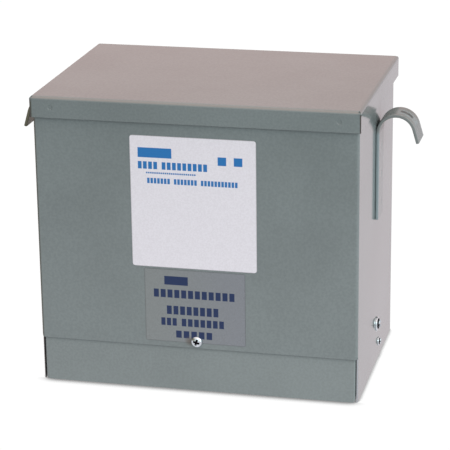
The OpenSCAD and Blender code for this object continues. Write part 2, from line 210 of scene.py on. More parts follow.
floor.visible_shadow = False

# The light that the table sends back up fades towards the front edge of the table. Behind the
# transformer and to its left lies the transformer's own shade.
bounce_glow = material("bounce_glow")
tree = bounce_glow.node_tree
axes = add(tree, "SeparateXYZ", {0: add(tree, "TexCoord").outputs["Object"]}).outputs
fade = ramp(tree, axes["Y"], *BOUNCE_FADE, BOUNCE_LOW, 1.0)
shade = sum_up(tree, "MULTIPLY", ramp(tree, axes["X"], *SHADE_ACROSS, SHADE_DEPTH, 0.0),
               ramp(tree, axes["Y"], *SHADE_BACK))
strength = sum_up(tree, "MULTIPLY", fade, sum_up(tree, "SUBTRACT", BOUNCE_STRENGTH, shade))
glow = add(tree, "Emission", {"Color": BOUNCE_COLOUR, "Strength": strength})
add(tree, "OutputMaterial", {"Surface": glow.outputs[0]})
bounce = wide_sheet("bounce_sheet", -BOUNCE_DROP, bounce_glow)
bounce.visible_camera = False

# A black card hangs behind on the right, where only the plated screw heads mirror it.
black = material("black_card")
tree = black.node_tree
add(tree, "OutputMaterial", {"Surface": add(tree, "BsdfDiffuse", {"Color": CARD_BLACK}).outputs[0]})
card = wide_sheet("black_card", 0, black, CARD_SIDE)
card.data.transform(aimed_at(CARD_PLACE, KEY_AIM))
card.visible_camera = False
card.visible_diffuse = False
card.visible_shadow = False

# ---------------------------------------------------------------------------------------------
# The front and side cover: one sheet of 1.5 mm steel folded round the front and both sides,
# sprayed with a glossy grey-green enamel that dries to a fine orange peel. The other sheet-metal
# pieces are sprayed in the same booth, so they share this enamel.

ENAMEL_COLOUR = (0.150, 0.197, 0.199)
ENAMEL_IOR = 1.5
ENAMEL_ROUGHNESS = (0.10, 0.15)
NOISE_BAND = (0.3, 0.7)
CLOUD_SCALE = 11
CLOUD_STRENGTH = 0.05
GRAIN_SCALE = 420
GRAIN_STRENGTH = 0.05
DULLING_SCALE = 4
DULLING_BAND = (0.35, 0.65)
PEEL_SCALE = 260
PEEL_HEIGHT = 0.00002
WAVE_SCALE = 7
WAVE_HEIGHT = 0.00015
EDGE_ROUNDING = 0.0004

SEAM_HEIGHT = 0.046
FOLD_RADIUS = 0.003
PANEL_BEVEL = 0.001
BEYOND = 0.01
HAIR = 0.0002
# Sheared edges beside the wiring cover: a painted highlight on the right, painted shade on the
# left.
SHEARED_RIGHT_HIGHLIGHT = (0.26, 0.30, 0.32, 1)
SHEARED_LEFT_SHADE = (0.020, 0.020, 0.018, 1)
# The left front folds are painted dark: painted shade where they turn away from the light.
LEFT_FOLD_SHADE = (0.060, 0.076, 0.058, 1)
LEFT_FOLD_SHADE_SHARE = 0.9
LEFT_FOLD_SHADE_REACH = (0.0021, 0.0028)
LEFT_FOLD_SHADE_SOFT = 0.0007
# The cover screw's shadow is painted brownish on the cover and the labels, left of the screw.
SCREW_SHADOW_BROWN = (0.085, 0.075, 0.058, 1)
SCREW_SHADOW_SHARE = 0.65
SCREW_SHADOW_LEFT = 0.0075
SCREW_SHADOW_CORE = 0.000975
SCREW_SHADOW_REACH = 0.0065


def shaded(colour, by):
    """A colour as four numbers, darker or lighter by a share."""
    return tuple(c * (1 + by) for c in colour) + (1,)


def scaled(tree, colour, by):
    """A colour made darker or lighter by a factor that changes over the surface."""
    return add(tree, "VectorMath", {0: colour, "Scale": by}, operation="SCALE").outputs[0]


def noise(tree, place, scale, detail=2.0):
    """Smooth noise from 0 to 1 at a place, with scale features to a metre."""
    inputs = {"Vector": place, "Scale": scale, "Detail": detail, "Roughness": 0.5}
    return add(tree, "TexNoise", inputs).outputs["Fac"]


def grained(tree, place, colour, scale, strength):
    """A colour made darker and lighter in grains, by up to a share."""
    grain = noise(tree, place, scale)
    return scaled(tree, colour, ramp(tree, grain, *NOISE_BAND, 1 - strength, 1 + strength))


def bumped(tree, height, metres, normal=None):
    """The normal of a relief laid over a normal: its height times so many metres."""
    inputs = {"Height": height, "Distance": metres}
    if normal:
        inputs["Normal"] = normal
    return add(tree, "Bump", inputs).outputs[0]


def far_off(tree, across, up):
    """The distance to a point that lies so far across and so far up."""
    square = sum_up(tree, "MULTIPLY_ADD", across, across, sum_up(tree, "MULTIPLY", up, up))
    return sum_up(tree, "SQRT", square)


def inside(tree, axes, soft=0.0001, **limits):
    """1 inside the limits, such as X=(low, high), and 0 outside, changing over soft each way. Each
    limit is a ramp down on the distance from its middle, and the ramps are multiplied."""
    share = None
    for axis, (low, high) in limits.items():
        off_middle = sum_up(tree, "SUBTRACT", axes[axis], (low + high) / 2)
        half = (high - low) / 2
        side = ramp(tree, sum_up(tree, "ABSOLUTE", off_middle), half - soft, half + soft, 1.0, 0.0)
        share = side if share is None else sum_up(tree, "MULTIPLY", share, side)
    return share


def on_right(tree, axes):
    """0 on the transformer's left side and 1 on its right side."""
    return ramp(tree, axes["X"], -BEYOND, BEYOND)


def dress(node_name, finish):
    """Gives a CAD node its finish."""
    slots = nodes[node_name].data.materials
    slots.clear()
    slots.append(finish)


def enamel(name, colour, marks=None, ior=ENAMEL_IOR):
    """Glossy enamel: the colour clouds and grains a little, and orange peel lies on slow waves.
    marks adds a piece's own marks: it takes the tree, the place, the colour and the roughness
    so far, and gives back the colour, the roughness, and a height of dents in metres or None."""
    made = material(name)
    tree = made.node_tree
    place = add(tree, "TexCoord").outputs["Object"]
    cloud = ramp(tree, noise(tree, place, CLOUD_SCALE, 3), *NOISE_BAND)
    base = blend(tree, cloud, shaded(colour, -CLOUD_STRENGTH), shaded(colour, CLOUD_STRENGTH))
    base = grained(tree, place, base, GRAIN_SCALE, GRAIN_STRENGTH)
    roughness = ramp(tree, noise(tree, place, DULLING_SCALE, 4), *DULLING_BAND, *ENAMEL_ROUGHNESS)
    dents = None
    if marks:
        base, roughness, dents = marks(tree, place, base, roughness)
    normal = add(tree, "Bevel", {"Radius": EDGE_ROUNDING}, samples=4).outputs[0]
    if dents:
        normal = bumped(tree, dents, 1.0, normal)
    waves = bumped(tree, noise(tree, place, WAVE_SCALE, 0), WAVE_HEIGHT, normal)
    peel = bumped(tree, noise(tree, place, PEEL_SCALE), PEEL_HEIGHT, waves)
    paint = add(tree, "BsdfPrincipled",
                {"Base Color": base, "Roughness": roughness, "IOR": ior, "Normal": peel})
    add(tree, "OutputMaterial", {"Surface": paint.outputs[0]})
    return made


def screw_shadowed(tree, axes, base):
    """The base under a round, brownish painted shadow of the cover screw, to its left, which fades
    from its core out to its reach."""
    low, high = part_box("cover_screw")
    across = sum_up(tree, "SUBTRACT", axes["X"], (low[0] + high[0]) / 2 - SCREW_SHADOW_LEFT)
    up = sum_up(tree, "SUBTRACT", axes["Z"], (low[2] + high[2]) / 2)
    share = ramp(tree, far_off(tree, across, up), SCREW_SHADOW_CORE, SCREW_SHADOW_REACH, SCREW_SHADOW_SHARE, 0.0)
    return blend(tree, share, base, SCREW_SHADOW_BROWN)


def shaded_left_corner(tree, axes, base, low):
    """The base painted darker at the left front corner of a piece, at low: painted shade where the
    fold turns away from the light.
    """
    corner = inside(tree, axes, soft=LEFT_FOLD_SHADE_SOFT, X=(low[0] - BEYOND, low[0] + LEFT_FOLD_SHADE_REACH[0]),
                    Y=(low[1] - BEYOND, low[1] + LEFT_FOLD_SHADE_REACH[1]))
    return blend(tree, sum_up(tree, "MULTIPLY", LEFT_FOLD_SHADE_SHARE, corner), base, LEFT_FOLD_SHADE)


def front_cover_marks(tree, place, base, roughness):
    """The left corner painted dark with painted shade, the painted shadow of the cover screw, and
    the side panels' sheared edges beside the wiring cover, where the folds are cut off: a painted
    highlight on the right and painted shade on the left."""
    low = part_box("front_side_cover")[0]
    axes = add(tree, "SeparateXYZ", {0: place}).outputs
    base = shaded_left_corner(tree, axes, base, low)
    cut = inside(tree, axes, Z=(-BEYOND, SEAM_HEIGHT - HAIR),
                 Y=(low[1] - BEYOND, low[1] + FOLD_RADIUS + PANEL_BEVEL + HAIR))
    base = blend(tree, cut, base, blend(tree, on_right(tree, axes), SHEARED_LEFT_SHADE, SHEARED_RIGHT_HIGHLIGHT))
    return screw_shadowed(tree, axes, base), roughness, None


dress("front_side_cover", enamel("cover_enamel", ENAMEL_COLOUR, front_cover_marks))

# ---------------------------------------------------------------------------------------------
# The bottom tray: the floor of the case, a pan of the same sheet folded up at its sides and rear
# and screwed to the side panels. The spray reaches its underside only thinly, so it is duller.

DRY_COAT = shaded(ENAMEL_COLOUR, -0.25)
DRY_SCALE = 18
DRY_BAND = (0.4, 0.65)
DRY_ROUGHNESS = (0.18, 0.4)


def thin_coat(tree, place, base, roughness):
    """A dry, slightly darker coat in patches."""
    dry = ramp(tree, noise(tree, place, DRY_SCALE, 4), *DRY_BAND)
    return blend(tree, dry, base, DRY_COAT), ramp(tree, dry, 0, 1, *DRY_ROUGHNESS), None


dress("bottom_tray", enamel("tray_enamel", ENAMEL_COLOUR, thin_coat))

# ---------------------------------------------------------------------------------------------
# The core block: the laminated core and its coils, cast into a block of resin and silica sand.
# It fills the upper case, so only its underside shows, through the wiring space.

POTTING_COLOUR = (0.040, 0.037, 0.034)
SAND_SCALE = 900
SAND_BAND = (0.1, 0.5)
SAND_LIGHTER = 0.9
SAND_DARKER = -0.1
SAND_RELIEF = 0.4
PIT_SCALE = 120
PIT_BAND = (0.6, 0.7)
PIT_DARKER = -0.6
CAST_RELIEF = 0.0004
CAST_ROUGHNESS = (0.0, 0.6, 0.5, 0.8)

potting = material("potting_compound")
tree = potting.node_tree
place = add(tree, "TexCoord").outputs["Object"]
sand = add(tree, "TexVoronoi", {"Vector": place, "Scale": SAND_SCALE}).outputs["Distance"]
pits = ramp(tree, noise(tree, place, PIT_SCALE, 3), *PIT_BAND)
base = blend(tree, ramp(tree, sand, *SAND_BAND), shaded(POTTING_COLOUR, SAND_LIGHTER),
             shaded(POTTING_COLOUR, SAND_DARKER))
base = blend(tree, pits, base, shaded(POTTING_COLOUR, PIT_DARKER))
relief = sum_up(tree, "SUBTRACT", sum_up(tree, "MULTIPLY", sand, SAND_RELIEF), pits)
rough_cast = bumped(tree, relief, CAST_RELIEF)
cast = add(tree, "BsdfPrincipled", {"Base Color": base, "Normal": rough_cast,
                                    "Roughness": ramp(tree, sand, *CAST_ROUGHNESS)})
add(tree, "OutputMaterial", {"Surface": cast.outputs[0]})
dress("core_block", potting)

# ---------------------------------------------------------------------------------------------
# The core brackets: two angles of galvanised plate, each with a nut welded inside its leg. They
# are bolted to the side panels and carry the core block on their shelves.

SPANGLE_SCALE = 95
SPANGLE_DARK = (0.30, 0.31, 0.32, 1)
SPANGLE_BRIGHT = (0.56, 0.57, 0.58, 1)
SPANGLE_ROUGHNESS = (0.32, 0.5)

galvanised = material("galvanised_plate")
tree = galvanised.node_tree
place = add(tree, "TexCoord").outputs["Object"]
spangle = add(tree, "TexVoronoi", {"Vector": place, "Scale": SPANGLE_SCALE}).outputs["Color"]
brightness = add(tree, "SeparateColor", {0: spangle}).outputs[0]
plate = add(tree, "BsdfPrincipled",
            {"Base Color": blend(tree, brightness, SPANGLE_DARK, SPANGLE_BRIGHT), "Metallic": 1.0,
             "Roughness": ramp(tree, brightness, 0, 1, *SPANGLE_ROUGHNESS)})
add(tree, "OutputMaterial", {"Surface": plate.outputs[0]})
for name in ("left_core_bracket", "right_core_bracket"):
    dress(name, galvanised)

# ---------------------------------------------------------------------------------------------
# The back plate and the two wall rails: a flat plate screwed to the cover's rear flanges, and
# Z-shaped rails of thicker plate spot-welded to it. The welds leave shallow round dents.

WELD_PITCH = 0.058
WELD_RADIUS = 0.0032
WELD_FLAT = 0.6
WELD_DEPTH = 0.0003
WELD_INSET = 0.008


def spot_welds(height):
    """Marks that press a row of round dents, WELD_PITCH apart, at this height. The way along to
    the nearest dent goes up and down like a saw. It is measured from far left, where no rail is."""
    def marks(tree, place, base, roughness):
        axes = add(tree, "SeparateXYZ", {0: place}).outputs
        from_left = sum_up(tree, "ADD", axes["X"], 20 * WELD_PITCH)
        off_middle = sum_up(tree, "PINGPONG", from_left, WELD_PITCH / 2)
        along = sum_up(tree, "SUBTRACT", WELD_PITCH / 2, off_middle)
        off_row = sum_up(tree, "SUBTRACT", axes["Z"], height)
        distance = far_off(tree, along, off_row)
        dent = ramp(tree, distance, WELD_FLAT * WELD_RADIUS, WELD_RADIUS, -WELD_DEPTH, 0.0)
        return base, roughness, dent
    return marks


dress("back_plate", enamel("case_enamel", ENAMEL_COLOUR))
weld_rows = {"upper_wall_rail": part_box("upper_wall_rail")[0][2] + WELD_INSET,
             "lower_wall_rail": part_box("lower_wall_rail")[1][2] - WELD_INSET}
for name, height in weld_rows.items():
    dress(name, enamel(name + "_enamel", ENAMEL_COLOUR, spot_welds(height)))

# ---------------------------------------------------------------------------------------------
# The top cover: a pan folded down on four sides, with a relief hole and a shallow notch at each
# corner, spot-welded to the front cover at two dimples. The ends of its flanges took little paint
# and are painted dark in the notches, thin paint and painted shade. The front fold has a painted
# highlight and the side folds are painted darker, a painted shade.

NOTCH_WIDTH = 0.0011
NOTCH_DEPTH = 0.0005
NOTCH_SOFT = 0.0001
NOTCH_THIN_PAINT_AND_SHADE = (0.070, 0.073, 0.068, 1)
LID_FOLD_RADIUS = 0.00325
FRONT_FOLD_REACH = 0.0013
FRONT_FOLD_DROP = 0.00195
FRONT_FOLD_SOFT = 0.0012
FRONT_FOLD_HIGHLIGHT = (0.227, 0.232, 0.215, 1)
SIDE_FOLD_REACH = 0.0022
SIDE_FOLD_DROP = 0.0052
SIDE_FOLD_SOFT = 0.0016
SIDE_FOLD_SHADE = (0.120, 0.160, 0.161, 1)


def top_cover_marks(tree, place, base, roughness):
    """A left corner in painted shade, a painted highlight along the front fold and painted shade
    along the side folds, and thin, dark paint with painted shade on the sheared ends of the flanges
    in the four notches."""
    low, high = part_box("top_cover")
    axes = add(tree, "SeparateXYZ", {0: place}).outputs
    base = shaded_left_corner(tree, axes, base, low)
    sideways, endways = (sum_up(tree, "ABSOLUTE", axes[axis]) for axis in "XY")
    front_fold = inside(tree, axes, soft=FRONT_FOLD_SOFT,
                        Y=(low[1] - BEYOND, low[1] + FRONT_FOLD_REACH),
                        Z=(high[2] - FRONT_FOLD_DROP, high[2] + BEYOND))
    base = blend(tree, front_fold, base, FRONT_FOLD_HIGHLIGHT)
    side_fold = inside(tree, {"X": sideways, "Z": axes["Z"]}, soft=SIDE_FOLD_SOFT,
                       X=(high[0] - SIDE_FOLD_REACH, high[0] + BEYOND),
                       Z=(high[2] - SIDE_FOLD_DROP, high[2] + BEYOND))
    base = blend(tree, side_fold, base, SIDE_FOLD_SHADE)
    notch = inside(tree, {"X": sideways, "Y": endways, "Z": axes["Z"]}, soft=NOTCH_SOFT,
                   X=(high[0] - NOTCH_WIDTH - NOTCH_SOFT, high[0] + BEYOND),
                   Y=(high[1] - NOTCH_DEPTH - NOTCH_SOFT, high[1] + BEYOND),
                   Z=(0, high[2] - LID_FOLD_RADIUS))
    return blend(tree, notch, base, NOTCH_THIN_PAINT_AND_SHADE), roughness, None


dress("top_cover", enamel("top_enamel", ENAMEL_COLOUR, top_cover_marks))

# ---------------------------------------------------------------------------------------------
# The wiring cover: a folded strip that closes the wiring space at the foot of the front. Its
# upper edge tucks up behind the front cover. Its enamel is painted a little lighter, painted light
# for the brighter light it takes near the table, and a painted shadow lies under the seam.

# A little lighter than the front cover's enamel: painted light, for the light from the table below.
STRIP_LIT_COLOUR = (0.168, 0.218, 0.219)
# The shadow under the seam, below the front cover's lower edge, is painted on the wiring cover.
SEAM_SHADOW = (0.100, 0.135, 0.135, 1)
SEAM_SHADOW_SHARE = 0.33
SEAM_SHADOW_BELOW = (0.0045, 0.0005)


def shadow_under_seam(tree, place, base, roughness):
    """A painted shadow that grows from nothing up to the front cover's lower edge."""
    height = add(tree, "SeparateXYZ", {0: place}).outputs["Z"]
    unshadowed, darkest = (SEAM_HEIGHT - below for below in SEAM_SHADOW_BELOW)
    share = ramp(tree, height, unshadowed, darkest, 0.0, SEAM_SHADOW_SHARE)
    return blend(tree, share, base, SEAM_SHADOW), roughness, None


dress("wiring_cover", enamel("strip_enamel", STRIP_LIT_COLOUR, shadow_under_seam))

# ---------------------------------------------------------------------------------------------
# The lifting hooks: 1 1/4 inch flat bar with rolled edges, bent into an arch over a sling, with
# its long end welded up the side panel. They are sprayed with the case. The coat shows the bar's
# streaks round the arch, slings have scuffed the crown, and grime sits inside the arch, painted
# lighter for the light the table sends up. The rims have a painted highlight on the strap and
# painted shade round the arch, and painted shade lies in the crease against the panel.

HOOK_THICKNESS = 0.0032
HOOK_ARCH_RADIUS = 0.0168
HOOK_FLARE = math.atan2(7, 24)
HOOK_MILL_EDGE = 0.0009
HOOK_END_EDGE = 0.0004
HOOK_WELDS = (-0.075, -0.045, -0.015)
HOOK_WELD_RADIUS = 0.0035
HOOK_WELD_DEPTH = 0.0003
WELD_FACE_POWER = 8
ARCH_FOOT_SHARE = 0.2
CREASE_SHADE_SHARE = 0.8
MERGED_WITHIN = 1e-7
SHARP_FROM = math.radians(40)

# Marks along the bar are measured from the foot of its arch, and marks across it from its middle.
HOOK_IOR = 1.3
BEND_SOFT = 0.003
STREAK_SCALE = (60, 700, 1)
STREAK_BAND = (0.3, 0.65)
HOOK_STREAK = (0.046, 0.086, 0.074, 1)
STREAK_HEIGHT = 0.00003
COAT_WEAKEST = 0.35
COAT_THINS = (0.010, 0.034, 1.0, 0.5)
COAT_ROUGHER = 0.15
# The rims are painted pale on the strap, a painted highlight.
HOOK_RIM_HIGHLIGHT = (0.230, 0.306, 0.323, 1)
HOOK_BENT_EDGE = (0.178, 0.212, 0.210, 1)
# The rims round the arch are painted dark, a painted shade, less so on the right hook's front rim.
RIM_SHADE_SHARE = 0.65
NEAR_RIM_SOFT = 0.001
# Olive grime, painted light enough to stand for the light the table sends up into the arch.
HOOK_GRIME_AND_LIGHT = (0.460, 0.435, 0.275, 1)
GRIME_AND_LIGHT_BETWEEN_STREAKS = 0.45
LEFT_RIM_GRIME_AND_LIGHT = 0.8
MOTTLE_SCALE = 520
HOOK_RUBBED = (0.172, 0.275, 0.292, 1)
RUBBED_ALONG = (0.028, 0.050)
RUBBED_ACROSS = (-0.010, 0.006)
RUBBED_SOFT = 0.003
RUBBED_MOTTLE = (0.3, 0.6, 0.2, 0.7)
# The scuff's colour also paints shade on the arch's rims and in the crease against the panel.
HOOK_SCUFF_AND_SHADE = (0.004, 0.032, 0.032, 1)
SCUFF_ALONG = (0.031, 0.044)
SCUFF_ACROSS = (-0.0045, 0.0025)
SCUFF_SOFT = 0.0009
SCUFF_MOTTLE = (0.33, 0.43, 0.0, 0.9)


def ringed_surface(name, grid, along=None, around=None, **attributes):
    """A closed mesh from a grid of points, rows of rings. Rings that shrink to a line or a point
    are merged there. along and around are the map's distances for the rows and the columns, and
    each attribute is a grid of numbers."""
    rows, columns = grid.shape[:2]
    index = np.arange(rows * columns).reshape(rows, columns)
    onward = np.roll(index, -1, axis=1)
    faces = np.stack([index[:-1], onward[:-1], onward[1:], index[1:]], axis=-1).reshape(-1, 4)
    mesh = bpy.data.meshes.new(name)
    mesh.from_pydata(grid.reshape(-1, 3).tolist(), [], faces.tolist())
    for key, values in attributes.items():
        layer = mesh.attributes.new(key, "FLOAT", "POINT")
        layer.data.foreach_set("value", np.ascontiguousarray(values, dtype=np.float32).ravel())
    if along is not None:
        row, column = np.meshgrid(np.arange(rows - 1), np.arange(columns), indexing="ij")
        u = along[np.stack([row, row, row + 1, row + 1], axis=-1)]
        v = around[np.stack([column, column + 1, column + 1, column], axis=-1)]
        mesh.uv_layers.new(name="along_and_around")
        unrolled = np.stack([u, v], axis=-1).astype(np.float32)
        mesh.uv_layers[0].data.foreach_set("uv", unrolled.ravel())
    shell = bmesh.new()
    shell.from_mesh(mesh)
    bmesh.ops.remove_doubles(shell, verts=shell.verts, dist=MERGED_WITHIN)
    bmesh.ops.recalc_face_normals(shell, faces=shell.faces)
    shell.to_mesh(mesh)
    shell.free()
    mesh.shade_smooth()
    mesh.set_sharp_from_angle(angle=SHARP_FROM)
    piece = bpy.data.objects.new(name, mesh)
    bpy.context.scene.collection.objects.link(piece)
    return piece


def bar_section(width, thickness, edge):
    """The outline of a flat bar with its corners rounded to a quarter circle: points across the
    bar and out from its middle plane, from the middle of the inner face and back to it."""
    half, rise = width / 2 - edge, thickness / 2 - edge
    quarter = np.linspace(0, np.pi / 2, 7)
    face = np.linspace(0, half, 10)[:-1]
    inner = np.stack([face, np.full_like(face, -thickness / 2)], axis=1)
    lower = np.stack([half + edge * np.sin(quarter), -rise - edge * np.cos(quarter)], axis=1)
    right = np.concatenate([inner, lower, lower[::-1] * [1, -1], inner[::-1] * [1, -1]])
    left = right[-2::-1] * [-1, 1]
    return np.concatenate([right, left])[:-1]


def hook_surface(name, node_name, side):
    """A bar's section carried along its middle line. The line is straight up to the arch, then
    turns through s / radius while s runs round the arch, then is straight again. Each weld pushes
    in the free face by a bell curve of the distance from it. inner, rim and crease are 1 inside the
    arch, on the rims, and in the crease between the arch's foot and the panel, and 0 elsewhere.
    across is the distance from the bar's middle."""
    low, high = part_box(node_name)
    panel_x, far_x = (low[0], high[0]) if side > 0 else (-high[0], -low[0])
    radius = HOOK_ARCH_RADIUS + HOOK_THICKNESS / 2
    outer = HOOK_ARCH_RADIUS + HOOK_THICKNESS
    centre_x, centre_z = panel_x + outer, high[2] - outer
    leg = (far_x - centre_x - outer * math.cos(HOOK_FLARE)) / math.sin(HOOK_FLARE)
    strap, arch = centre_z - low[2], radius * (math.pi - HOOK_FLARE)
    end = arch + leg
    s = np.concatenate([[-strap, -strap], np.linspace(HOOK_END_EDGE - strap, 0, 60),
                        np.linspace(0, arch, 42)[1:], np.linspace(arch, end - HOOK_END_EDGE, 9)[1:],
                        [end, end]])[:, None]
    section = bar_section(high[1] - low[1], HOOK_THICKNESS, HOOK_MILL_EDGE)
    across, out = np.broadcast_to(section.T[:, None], (2, len(s), len(section))).copy()
    for k in (1, -2):
        out[k] *= 1 - 2 * HOOK_END_EDGE / HOOK_THICKNESS
    for k in (0, 1, -2, -1):
        across[k] *= 1 - 2 * HOOK_END_EDGE / (high[1] - low[1])
    out[[0, -1]] = 0
    on_free_face = np.clip(-out / (HOOK_THICKNESS / 2), 0, 1) ** WELD_FACE_POWER
    for weld in HOOK_WELDS:
        near = np.exp(-((s - weld) ** 2 + across ** 2) / HOOK_WELD_RADIUS ** 2)
        out = out + HOOK_WELD_DEPTH * near * on_free_face
    angle = math.pi - np.clip(s, 0, arch) / radius
    straight = np.minimum(s, 0) + np.maximum(s - arch, 0)
    x = centre_x + (radius + out) * np.cos(angle) + straight * np.sin(angle)
    z = centre_z + (radius + out) * np.sin(angle) - straight * np.cos(angle)
    grid = np.stack([side * x, across + (low[1] + high[1]) / 2, z], axis=-1)
    steps = np.hypot(*np.diff(np.vstack([section, section[:1]]), axis=0).T)
    around = np.concatenate([[0], np.cumsum(steps)])
    foot = ARCH_FOOT_SHARE * arch
    inner = (out < -0.45 * HOOK_THICKNESS) * (s > foot)
    rim = np.clip((np.abs(across) - (high[1] - low[1]) / 2) / HOOK_MILL_EDGE + 1.5, 0, 1)
    # crease marks where hook_marks paints shade against the panel.
    crease = np.clip(4 * out / HOOK_THICKNESS - 1, 0, CREASE_SHADE_SHARE) * np.clip(1.3 - s / foot, 0, 1)
    return ringed_surface(name, grid, s[:, 0], around,
                          inner=inner, across=across, rim=rim, crease=crease)


def hook_marks(tree, place, base, roughness):
    """Streaks drawn round the arch; rims with a painted highlight on the strap and painted shade
    round the arch, but for the front rim of the right hook; olive grime inside the arch and on the
    left hook's rims, painted lighter for light from the table below; painted shade in the crease
    against the panel; and a scuff in a paler rubbed patch on the crown."""
    bar = add(tree, "TexCoord").outputs["UV"]
    along = add(tree, "SeparateXYZ", {0: bar}).outputs["X"]
    across, inner, rim, crease = (add(tree, "Attribute", attribute_name=name).outputs["Fac"]
                                  for name in ("across", "inner", "rim", "crease"))
    right = on_right(tree, add(tree, "SeparateXYZ", {0: place}).outputs)
    drawn = add(tree, "Mapping", {"Vector": bar, "Scale": STREAK_SCALE}).outputs[0]
    streaks = ramp(tree, noise(tree, drawn, 1.0, 3), *STREAK_BAND)
    mottle = noise(tree, place, MOTTLE_SCALE, 3)

    bent = ramp(tree, along, -BEND_SOFT, BEND_SOFT)
    thinning = sum_up(tree, "MULTIPLY", ramp(tree, along, *COAT_THINS), bent)
    coat = sum_up(tree, "MULTIPLY", ramp(tree, streaks, 0, 1, COAT_WEAKEST, 1.0), thinning)
    base = blend(tree, coat, base, HOOK_STREAK)
    bent_rim = sum_up(tree, "MULTIPLY", rim, bent)
    base = blend(tree, bent_rim, blend(tree, rim, base, HOOK_RIM_HIGHLIGHT), HOOK_BENT_EDGE)

    streaked = ramp(tree, streaks, 0, 1, 1.0, GRIME_AND_LIGHT_BETWEEN_STREAKS)
    inner_grime_and_light = sum_up(tree, "MULTIPLY", inner, streaked)
    left_rim_grime_and_light = sum_up(tree, "MULTIPLY", bent_rim, ramp(tree, right, 0, 1, LEFT_RIM_GRIME_AND_LIGHT, 0.0))
    base = blend(tree, sum_up(tree, "MAXIMUM", inner_grime_and_light, left_rim_grime_and_light), base, HOOK_GRIME_AND_LIGHT)

    crown = {"along": along, "across": across}
    rubbed = inside(tree, crown, soft=RUBBED_SOFT, along=RUBBED_ALONG, across=RUBBED_ACROSS)
    rubbed = sum_up(tree, "MULTIPLY", rubbed, ramp(tree, mottle, *RUBBED_MOTTLE))
    base = blend(tree, rubbed, base, HOOK_RUBBED)

    scuff = inside(tree, crown, soft=SCUFF_SOFT, along=SCUFF_ALONG, across=SCUFF_ACROSS)
    scuff = sum_up(tree, "MULTIPLY", scuff, ramp(tree, mottle, *SCUFF_MOTTLE))
    near = ramp(tree, across, -NEAR_RIM_SOFT, NEAR_RIM_SOFT, 1.0, 0.0)
    near_right = sum_up(tree, "MULTIPLY", right, near)
    shaded_rim = sum_up(tree, "MULTIPLY", bent_rim, ramp(tree, near_right, 0, 1, RIM_SHADE_SHARE, 0.0))
    dark = sum_up(tree, "MAXIMUM", sum_up(tree, "MAXIMUM", scuff, shaded_rim), crease)
    base = blend(tree, dark, base, HOOK_SCUFF_AND_SHADE)

    rougher = ramp(tree, sum_up(tree, "MAXIMUM", coat, dark), 0, 1, 0, COAT_ROUGHER)
    dents = sum_up(tree, "MULTIPLY", sum_up(tree, "ADD", scuff, coat), -STREAK_HEIGHT)
    return base, sum_up(tree, "ADD", roughness, rougher), dents


hook_enamel = enamel("hook_enamel", ENAMEL_COLOUR, hook_marks, HOOK_IOR)
for name, node_name, side in (("left_hook_bar", "left_lifting_hook", -1),
                              ("right_hook_bar", "right_lifting_hook", 1)):
    hook = hook_surface(name, node_name, side)
    hook.data.materials.append(hook_enamel)
    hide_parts(node_name)
    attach(hook, "root")

# ---------------------------------------------------------------------------------------------
# The screws: zinc-plated pan heads with a cross recess and a rolled thread. One holds the wiring
# cover, a bolt in each side holds a core bracket, a smaller one holds the tray, and four hold
# the back plate. The heads' measures are shares of their diameter.

TURN_STEPS = 112
HEAD_RINGS = 39
HEAD_RISE = 0.33
HEAD_ROUNDING = 0.02
PAN_PROFILE = ((0.78, 0.66), (0.90, 0.52), (0.97, 0.36), (1.0, 0.20))
FLANGED_PROFILE = ((0.66, 0.62), (0.72, 0.45), (0.73, 0.36), (0.78, 0.34), (0.94, 0.30),
                   (0.98, 0.27), (1.0, 0.20))
GROOVE_RING = 0.70
GROOVE_WIDTH = 0.06
PAN_ARM = 0.29
FLANGED_ARM = 0.325
ARM_RUNOUT = 0.3
RECESS_HALF_WIDTH = 0.085
RECESS_WALL = 0.02
RECESS_DEPTH = 0.17
RINGS_PER_PITCH = 7
THREAD_SHARE = 0.13
THREAD_FLANK = 3.2
TIP_SHARE = 0.75

ZINC_BRIGHT = (0.70, 0.83, 0.87, 1)
ZINC_DULL = (0.45, 0.53, 0.56, 1)
ZINC_ROUGHNESS = (0.16, 0.34)
BLOOM_SCALE = 240
BLOOM_BAND = (0.45, 0.75)
ZINC_GRAIN_SCALE = 900
ZINC_GRAIN_HEIGHT = 0.00001
RECESS_SOIL_AND_SHADE = (0.015, 0.016, 0.018, 1)
SOIL_AND_SHADE_BAND = (0.25, 0.75)

# Each screw's head and shank diameters, thread pitch, the degrees its cross is turned by, and
# whether its head has a flange.
SCREWS = {"cover_screw": (0.0115, 0.0058, 0.00127, 17, False),
          "left_frame_bolt": (0.015, 0.0079, 0.00141, -20, True),
          "right_frame_bolt": (0.015, 0.0079, 0.00141, 8, True),
          "left_tray_screw": (0.0095, 0.0048, 0.0016, 33, True),
          "right_tray_screw": (0.0095, 0.0048, 0.0016, -6, True),
          "upper_left_back_screw": (0.0084, 0.0039, 0.0014, 25, False),
          "upper_right_back_screw": (0.0084, 0.0039, 0.0014, -38, False),
          "lower_left_back_screw": (0.0084, 0.0039, 0.0014, 5, False),
          "lower_right_back_screw": (0.0084, 0.0039, 0.0014, 41, False)}


